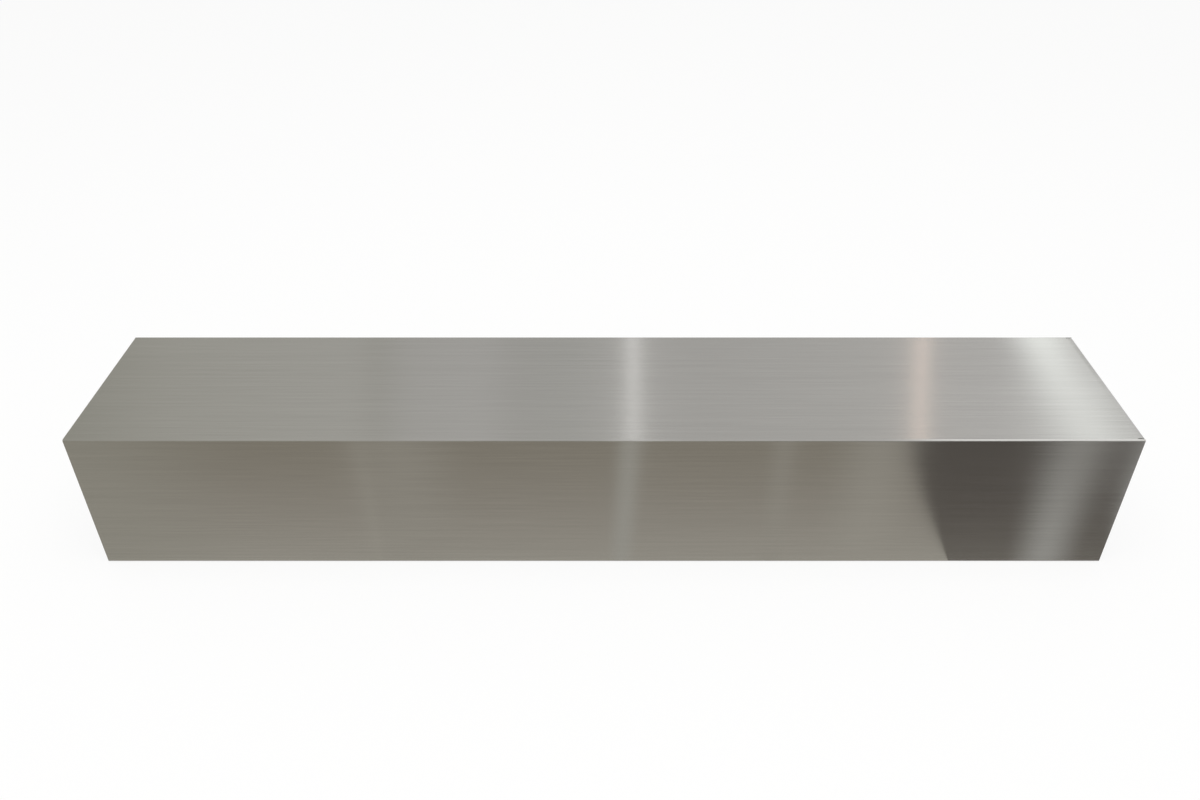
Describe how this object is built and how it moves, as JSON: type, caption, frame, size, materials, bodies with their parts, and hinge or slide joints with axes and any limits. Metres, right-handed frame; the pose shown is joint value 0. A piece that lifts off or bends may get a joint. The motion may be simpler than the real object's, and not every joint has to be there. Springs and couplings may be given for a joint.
{
  "type": "cooker hood chimney cover",
  "caption": "Folded brushed-steel channel, open at the back, that hides the flue pipe above a cooker hood; flanged at the wall, hemmed at its upper end.",
  "frame": {"origin": "middle of the open back, on the plane of the wall that the back flanges lie against", "axes": "+Z from the wall towards the front panel, +X along the cover towards its hemmed end, Y across its width"},
  "size_m": [1.1, 0.2, 0.17],
  "materials": {
    "brushed_stainless": "stainless sheet, brushed along its length"
  },
  "bodies": {
    "root": {"chimney_cover": "brushed_stainless"}
  },
  "joints": []
}
